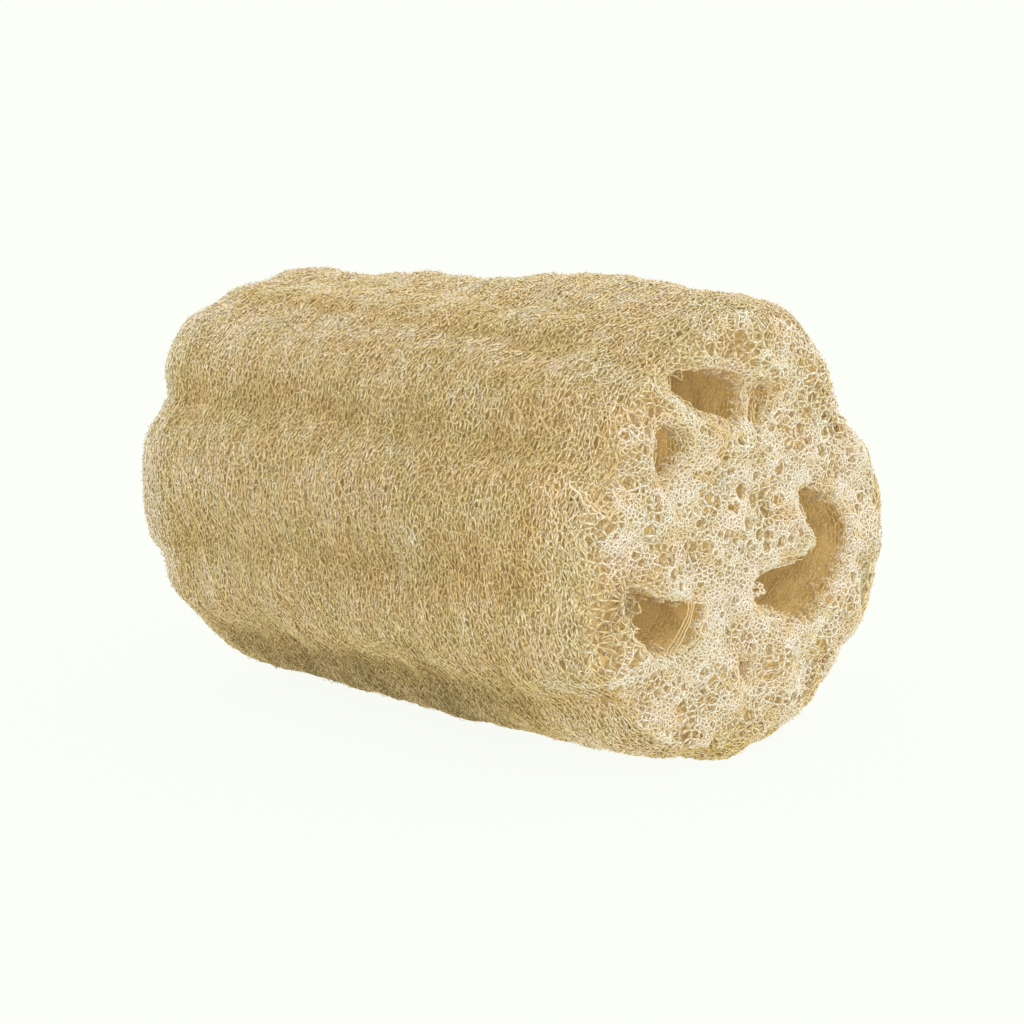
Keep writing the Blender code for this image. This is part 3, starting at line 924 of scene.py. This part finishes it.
# (y, z) from the middle of the front end, half width, half height and change of tone
facePatches = (
    (-22.0, 24.5, 4.5, 3.0, -0.34), (-20.0, 20.5, 2.6, 3.2, -0.22), (-32.0, 2.0, 3.0, 9.0, -0.12),
    (-30.0, 17.0, 3.0, 5.0, -0.12), (-24.2, -7.4, 3.4, 3.6, -0.62), (-31.5, -9.0, 3.4, 4.5, -0.24),
    (-28.3, -15.6, 1.3, 2.6, -0.40), (-26.5, -13.0, 3.6, 4.0, -0.22), (-8.0, 30.0, 14.0, 3.0, -0.22),
    (20.0, 20.0, 5.0, 5.0, -0.10), (14.3, 6.8, 2.8, 2.6, 0.40), (-16.3, 8.6, 2.8, 1.8, 0.30),
    (-25.0, 4.5, 2.8, 2.6, 0.26), (-7.0, -16.5, 3.6, 3.6, 0.22), (-5.2, -9.6, 2.2, 4.0, 0.26),
    (3.0, 15.0, 4.0, 2.0, 0.14), (-27.0, 0.6, 2.4, 2.4, 0.20), (3.0, -2.0, 3.0, 4.0, 0.14),
    (-11.0, 11.5, 2.0, 3.5, 0.16), (16.0, -19.0, 7.0, 2.2, 0.14), (30.0, -2.0, 5.0, 16.0, 0.14),
    (6.0, -27.0, 16.0, 4.0, 0.08), (1.5, -12.5, 2.5, 5.0, 0.24), (0.0, -31.0, 6.0, 3.0, -0.18))
pores = {"cell": 2.9, "kept": 0.85, "radius": (0.55, 1.4), "clear": 1.3,
         "placed": ((-30.4, 10.1, 1.7), (-3.7, 12.6, 1.5), (-34.0, -2.2, 1.4), (9.6, 10.0, 1.5),
                    (1.2, 7.0, 1.7), (-20.5, 3.4, 1.5), (-28.3, -15.5, 1.3), (20.5, 11.5, 1.5),
                    (-7.9, -20.5, 1.4), (2.2, 1.8, 1.5))}


# the sum of the bell-shaped patches, which only the front end has
def patchTone(flat, end):
    pale = np.zeros(len(flat))
    for y, z, halfWidth, halfHeight, lift in facePatches if end == 1 else ():
        pale += lift * np.exp(-((flat[:, 0] - y) / halfWidth) ** 2 - ((flat[:, 1] - z) / halfHeight) ** 2)
    return pale


# round pores as (y, z, radius): scattered ones clear of the holes, with a few in set places at the front
def makePores(rings, end):
    rng = np.random.default_rng(410 + end)
    reach = barrel["radius"] * 0.92
    middle = scatter((-reach, -reach), (reach, reach), (pores["cell"] * 0.87, pores["cell"]), 0.4, rng)
    radius = pores["radius"][0] + np.ptp(pores["radius"]) * rng.random(len(middle)) ** 1.4
    keep = (rng.random(len(middle)) < pores["kept"]) & (np.linalg.norm(middle, axis=1) < reach)
    for ring in rings:
        keep &= ~inside(middle, ring) & (offOutline(middle, ring) > radius + 0.3)
    keep &= rng.random(len(middle)) > 4 * patchTone(middle, end)
    every = np.column_stack([middle, radius])
    if end != 1:
        return every[keep]
    placed = np.array(pores["placed"])
    gap = np.linalg.norm(middle[:, None] - placed[None, :, :2], axis=-1) - placed[None, :, 2]
    return np.vstack([every[keep & (gap.min(1) > pores["clear"])], placed])


# pushes knots out of the pores to their rims, and gives each point's distance from the nearest pore's
# middle as a share of its radius
def openPores(knots, pore, share):
    off = knots[:, None] - pore[None, :, :2]
    far = np.linalg.norm(off, axis=-1) / (pore[:, 2] * share + 1e-6)
    nearest = far.argmin(1)
    pick = np.arange(len(knots))
    far, off = far[pick, nearest], off[pick, nearest]
    push = np.where(far < 1, (0.88 + 0.12 * far) / np.maximum(far, 1e-6), 1.0)
    return pore[nearest, :2] + off * push[:, None], far


# True within a veil's radius of its middle
def underVeil(flat):
    y, z, wide = np.array(endNet["veils"]).T[:, None]
    return (np.hypot(flat[:, :1] - y, flat[:, 1:] - z) < wide).any(1)


# one layer: a net over an end, with cells from small by the holes to large in open patches, its knots
# pushed out of the pores, cut off raggedly at the holes, and sunk by waves, jumps and the dip at a hole
def endLayer(layer, end, seed):
    depth, spread, small, large, thick, tone, pattern = layer[1:]
    rng = np.random.default_rng(130 + pattern + end)
    reach = barrel["radius"] + 6
    fine = scatter((-reach, -reach), (reach, reach), (small * 0.8, small * 0.9), 0.45, rng)
    names, shift = holesAt(end)
    rings = [holes[name]["ring"] + shift for name in names]
    offHoles = lambda flat: np.min([offOutline(flat, ring) for ring in rings[:4]], axis=0)
    patch = waves(fine, 9.0, 31 + end) + 0.6 * waves(fine, 4.0, 33 + end)
    wide = np.clip((offHoles(fine) - 1.0) / endNet["holeEdge"], 0, 1) * np.clip(0.3 + 0.6 * patch, 0, 1)
    wide = np.clip(wide - 2.5 * patchTone(fine, end), 0, 1)
    size = small + (large - small) * wide
    knots, links = netBetween(fine[rng.random(len(fine)) < (small / size) ** 2], (1.0, 1.0), 0.7)
    links = links[np.linalg.norm(knots[links[:, 0]] - knots[links[:, 1]], axis=1) < 6]
    pore, poreShare = makePores(rings, end), endNet["poreShare"][pattern]
    knots = openPores(knots, pore, poreShare)[0]
    mid = knots[links].mean(1)
    farPore = openPores(mid, pore, poreShare)[1]
    rim = sectionRadius(np.arctan2(mid[:, 1], mid[:, 0]), end * halfLength)
    keep = np.linalg.norm(mid, axis=1) < rim * endNet["share"]
    keep &= (farPore > 0.55) | (rng.random(len(mid)) < 0.12)
    ragged = mid + endNet["ragged"] * np.stack([waves(mid, 1.9, 37 + end), waves(mid, 1.9, 39 + end)], -1)
    veiled = underVeil(mid) & (end == 1) & (pattern > 1)
    for ring in rings:
        keep &= ~inside(ragged, ring) | veiled
    links, mid, farPore = links[keep], mid[keep], farPore[keep]
    off = np.min([offOutline(knots, ring) * np.where(inside(knots, ring), -1, 1) for ring in rings], axis=0)
    down = depth + spread * jumps(knots, seed) + 0.35 * waves(knots, 5.0, seed)
    down = down + endNet["dip"] * np.exp(-np.maximum(off, 0) / endNet["dipWidth"]) - np.minimum(off, 0)
    down = np.where(underVeil(knots), np.minimum(down, endNet["veilDown"]), down)
    place = onEnd(knots, np.maximum(down, 0), end)
    a, b = place[links[:, 0]], place[links[:, 1]]
    clump = np.clip(0.5 + 0.8 * waves(mid, 7.0, 95 + end), 0, 1.6)
    white = 0.16 * np.exp(-(offHoles(mid) / 2.2) ** 2) * clump + 0.07 * waves(mid, 9.0, 90 + end)
    white = white + 0.08 * np.exp(-((farPore - 1.1) / 0.3) ** 2) + patchTone(mid, end)
    # painted shade: knots sunk deeper than their layer are darker
    pale = toneAt((a + b) / 2, tone, endSeed) + white - 0.16 * (down[links].mean(1) - depth)
    facing = np.tile([float(end), 0.0, 0.0], (len(a), 1)) + 0.3 * rng.normal(size=(len(a), 3))
    return linksToStrands(a, b, facing, thick, pale, seed)


# both ends: the front has every layer, the back, which is seldom seen, one in each piece
def makeEndNets():
    for word, end, most in (("front", 1, 2), ("back", -1, 1)):
        for piece in ("outer", "inner"):
            layers = [layer for layer in endNet["layers"] if layer[0] == piece][:most]
            parts = [endLayer(layer, end, 110 + number * 7 + end) for number, layer in enumerate(layers)]
            addPiece(f"end_net_{word}_{piece}", parts, cutFibre)


makeEndNets()


# long strands on the cut ends: arcs beside the rim, and loops round the holes

longStrands = {"arcs": 130, "loops": 4, "steps": 40, "thick": 0.105, "tone": 0.78, "crossTone": -0.3}
# strands across the holes of the front end, as (y, z) from the middle of the cut end
crossings = (
    ((-10.2, -8.9), (-10.9, -13.0), (-15.3, -17.3)), ((-9.6, -9.2), (-10.2, -12.6), (-13.9, -17.0)),
    ((-10.7, -8.8), (-11.9, -13.4), (-16.4, -17.4)),
    ((-19.8, 25.2), (-16.9, 24.9), (-13.4, 22.2)), ((-19.2, 27.2), (-16.2, 25.6), (-14.6, 23.2)))


# arcs: share * radius at an angle that runs from start to start + span, wandering in and out
def rimArcs(end, seed):
    rng = np.random.default_rng(seed)
    count, steps = longStrands["arcs"], longStrands["steps"]
    share = rng.uniform(0.3, 0.74, (count, 1))
    span = rng.uniform(0.3, 1.1, (count, 1)) / share
    angle = rng.uniform(0, 2 * math.pi, (count, 1)) + span * np.linspace(0, 1, steps)
    number = np.arange(count)[:, None] * 9 + 0 * angle
    circle = np.stack([np.cos(angle), np.sin(angle), number], -1) * barrel["radius"]
    share = share + 0.022 * waves(circle, 8.0, seed) + 0.007 * waves(circle, 2.5, seed + 1)
    reach = sectionRadius(angle, end * halfLength) * np.minimum(share, 0.9)
    flat = np.stack([np.cos(angle), np.sin(angle)], -1) * reach[..., None]
    names, shift = holesAt(end)
    points = flat.reshape(-1, 2)
    loose = np.ones(count, bool)
    for name in names:
        ring = holes[name]["ring"] + shift
        blocked = inside(points, ring) | (offOutline(points, ring) < 0.5)
        loose &= ~blocked.reshape(count, steps).any(1)
    return flat[loose], 0.1 + 0.25 * rng.random((loose.sum(), 1)) + 0 * angle[loose]


# loops: the hole's outline grown by an amount, run for part of its length, sunk where it is close in
def holeLoops(name, shift, seed):
    rng = np.random.default_rng(seed)
    steps = longStrands["steps"]
    flats, sinks = [], []
    for number in range(seed, seed + longStrands["loops"]):
        grow = rng.uniform(-0.25, 2.2)
        girth, pick = walkRing(smoothOutline(holes[name]["outline"], 0.6, grow, 4))
        at = rng.random() * girth + np.linspace(0, rng.uniform(0.3, 0.95) * girth, steps)
        flat = pick(at % girth)
        flat = flat + 0.4 * np.stack([waves(flat, 2.6, number), waves(flat, 2.6, number + 3)], -1)
        flats.append(flat + shift)
        sinks.append(np.full(steps, 0.15 + endNet["dip"] * math.exp(-max(grow, 0) / endNet["dipWidth"])))
    return np.array(flats), np.array(sinks)


# crossings: curves through three points each, at even steps, hanging a little into the hole
def holeCrossings():
    share = np.linspace(0, 1, longStrands["steps"])[None, :, None]
    a, b, c = np.array(crossings).transpose(1, 0, 2)[:, :, None]
    flat = a * (1 - share) * (1 - 2 * share) + 4 * b * share * (1 - share) + c * share * (2 * share - 1)
    flat = flat + 0.16 * np.stack([waves(flat, 3.0, 371), waves(flat, 3.0, 372)], -1)
    return flat, 0.5 + 0.9 * np.sin(math.pi * share[..., 0]) + 0 * flat[..., 0]


# arcs, loops and crossings of an end in one piece; the crossings come last and are darker
def makeLongStrands():
    for word, end in (("front", 1), ("back", -1)):
        sets = [rimArcs(end, 300 + end)]
        names, shift = holesAt(end)
        for number, name in enumerate(names):
            sets.append(holeLoops(name, shift, 320 + 20 * number + end))
        if end == 1:
            sets.append(holeCrossings())
        flat, sink = [np.concatenate(values) for values in zip(*sets)]
        place = onEnd(flat, sink, end)
        facing = np.zeros(place.shape) + np.array([float(end), 0.2, 0.3])
        rng = np.random.default_rng(350 + end)
        tone = toneAt(place, longStrands["tone"], endSeed) + 0.08 * rng.normal(size=(len(place), 1))
        thick = longStrands["thick"] * (1 + 0.2 * rng.normal(size=(len(place), 1))) + 0 * tone
        if end == 1:
            tone[-len(crossings):] += longStrands["crossTone"]
        grain = rng.random((len(place), 1)) * 0.9 + 0.002 * np.arange(place.shape[1])
        addPiece(f"long_strands_{word}", [carryAlong(place, thick, tone, grain, facing)], cutFibre)


makeLongStrands()


# loose fibre ends that stand off the surface and make its outline soft

looseEnds = {"count": 13000, "long": (0.5, 1.3), "rise": (0.0, 0.35), "thick": 0.05, "tone": 0.84}


# each is a short strand from just under the surface to a point beside it and a little outside it
def makeLooseEnds():
    rng = np.random.default_rng(500)
    count = looseEnds["count"]
    edge = runAt(0.9)
    run, angle = rng.uniform(edge, total - edge, count), rng.uniform(0, 2 * math.pi, count)
    long = rng.uniform(*looseEnds["long"], count)
    heading = rng.normal(math.pi / 2, 0.7, count)
    rise = looseEnds["rise"][0] + np.ptp(looseEnds["rise"]) * rng.random(count) ** 2
    a = onBarrel(run, angle, 0.35)
    b = onBarrel(run + long * np.cos(heading), angle + long * np.sin(heading) / barrel["radius"], -rise)
    facing = b - np.array([0, barrel["axisSide"], barrel["axisHeight"]])
    tone = toneAt(a, looseEnds["tone"], slowSeed) + groovePale(a)
    parts = [linksToStrands(a, b, facing, looseEnds["thick"], tone, 510)]
    addPiece("loose_ends", parts, cutFibre)


makeLooseEnds()


# the linings of the seed channels and pits

lining = {"cell": (0.85, 1.9), "far": 26.0, "thick": 0.13, "tone": 0.70, "fade": 0.32, "fadeDeep": 13.0}


# a net over the unrolled wall of a hole, rolled up again on the hole's outline, with painted shade that makes
# it darker with depth
def liningOf(name, end, seed):
    hole = holes[name]
    rng = np.random.default_rng(seed)
    ring = smoothOutline(hole["outline"], 0.5, 0.0, 2)
    girth, pick = walkRing(ring)
    cell = lining["cell"]
    far = min(lining["far"], hole["depth"] - 1)
    points = scatter((-0.6, 0), (far, girth), cell, 0.42, rng, wrap=True)
    knots, links = netBetween(points, (1.0, cell[0] / cell[1]))
    links = linksInBand(knots, links, 0, far, girth, 3)
    centre = ring.mean(0)
    at = knots[:, 1] % girth
    flat = pick(at)
    away = unit(centre - flat)
    wrapped = np.stack([knots[:, 0], np.round(at, 4)], -1)
    flat = flat + away * 0.3 * jumps(wrapped, seed)[:, None]
    if name not in through:  # a pit narrows with depth
        flat = centre + (flat - centre) * (1 - (1 - body["pitNarrow"]) * knots[:, :1] / hole["depth"])
    x = end * (halfLength - 0.5 - knots[:, 0])
    place = np.stack([x, flat[:, 0] + endMiddle[0], flat[:, 1] + endMiddle[1]], -1)
    a, b = place[links[:, 0]], place[links[:, 1]]
    middle = (a + b) / 2
    facing = np.concatenate([np.zeros((len(a), 1)), away[links[:, 0]]], 1)
    deep = halfLength - np.abs(middle[:, 0])
    tone = toneAt(middle, lining["tone"] + hole.get("pale", 0), liningSeed)
    # painted light near the hole's mouth and painted shade deeper in
    tone = tone + 0.2 * np.exp(-deep / 0.8) - lining["fade"] * np.clip(deep / lining["fadeDeep"], 0, 1)
    return linksToStrands(a, b, facing, lining["thick"], tone, seed + 1)


# every bored hole from the front, and the channels from the back as well
def makeLinings():
    parts = [liningOf(name, 1, 200 + number) for number, name in enumerate(bored)]
    parts += [liningOf(name, -1, 240 + number) for number, name in enumerate(through)]
    addPiece("channel_linings", parts, liningFibre)


makeLinings()


# floor, light and camera

studio = {
    "lens": 80.86,
    "from": (287.2, -268.4, 102.0),
    "azimuth": 46.70,
    "elevation": 9.80,
    "backdrop": (0.974, 1.0, 0.939, 1),
    "lightLow": (1.03, 0.98, 0.87, 1),
    "lightHigh": (0.98, 0.985, 1.03, 1),
    "sky": 1.1,
    "above": 0.25,
    "front": 0.30,
    "floorGlow": 0.95,  # share of the floor's white that is its own, which keeps the shadow faint
}


# a level white sheet: part of its white is its own, and the rest is what the sky gives a level sheet,
# which is the sky's strength times its colour, both linear in z, over the half sphere
def makeFloor():
    mesh = bpy.data.meshes.new("floor")
    far = 60.0
    mesh.from_pydata([(-far, -far, 0), (far, -far, 0), (far, far, 0), (-far, far, 0)], [], [(0, 1, 2, 3)])
    floor = bpy.data.objects.new("floor", mesh)
    bpy.context.scene.collection.objects.link(floor)
    low, high = np.array(studio["lightLow"][:3]), np.array(studio["lightHigh"][:3])
    even, change = (low + high) / 2, (high - low) / 2
    sky, above, glow = studio["sky"], studio["above"], studio["floorGlow"]
    fall = sky * even + (sky * change + above * even) * 2 / 3 + above * change / 2
    lit = np.array(studio["backdrop"][:3]) * (1 - glow) / fall
    paper, _, inputs = newMaterial("white paper", 1.0, 0.0, studio["backdrop"], glow)
    inputs["Base Color"].default_value = lit.tolist() + [1]
    mesh.materials.append(paper)


# a pale room: the camera sees one even white, and the light falls as sky + above * z + front * x, cooler
# from above than from below
def makeSky():
    world = bpy.data.worlds.new("pale room")
    world.use_nodes = True
    tree = world.node_tree
    heading = addNode(tree, "TexCoord", {}).outputs["Generated"]
    rise = addRange(tree, addSplit(tree, heading)["Z"], -1.0, 1.0).outputs["Result"]
    tint = addMix(tree, rise, studio["lightLow"], studio["lightHigh"])
    lean = {0: heading, 1: (studio["front"], 0, studio["above"])}
    lean = addNode(tree, "VectorMath", lean, "DOT_PRODUCT")
    strength = addMath(tree, "ADD", lean.outputs["Value"], studio["sky"])
    light = tree.nodes["Background"]
    tree.links.new(tint, light.inputs["Color"])
    tree.links.new(strength, light.inputs["Strength"])
    seen = addNode(tree, "Background", {"Color": studio["backdrop"]}).outputs["Background"]
    path = addNode(tree, "LightPath", {}).outputs["Is Camera Ray"]
    mix = addNode(tree, "MixShader", {"Fac": path, 1: light.outputs["Background"], 2: seen}).outputs["Shader"]
    tree.links.new(mix, tree.nodes["World Output"].inputs["Surface"])
    bpy.context.scene.world = world


# a camera at its place, turned back along azimuth and elevation
def makeCamera():
    camera = bpy.data.cameras.new("camera")
    camera.lens = studio["lens"]
    camera.sensor_width = 36.0
    camera.clip_end = 200.0
    cameraObject = bpy.data.objects.new("camera", camera)
    bpy.context.scene.collection.objects.link(cameraObject)
    turn, rise = math.radians(studio["azimuth"]), math.radians(studio["elevation"])
    back = np.array([math.sin(turn) * math.cos(rise), -math.cos(turn) * math.cos(rise), math.sin(rise)])
    cameraObject.matrix_world = lookFrom(back, np.array(studio["from"]) * mm)
    bpy.context.scene.camera = cameraObject
    bpy.context.scene.view_settings.view_transform = "Standard"


# a placement whose +Z points along back, with +X level
def lookFrom(back, place):
    back = np.array(back) / np.linalg.norm(back)
    right = np.cross((0, 0, 1), back)
    right /= np.linalg.norm(right)
    up = np.cross(back, right)
    rows = np.eye(4)
    rows[:3, 0], rows[:3, 1], rows[:3, 2], rows[:3, 3] = right, up, back, place
    return Matrix(rows.tolist())


makeFloor()
makeSky()
makeCamera()
print("studio ready")
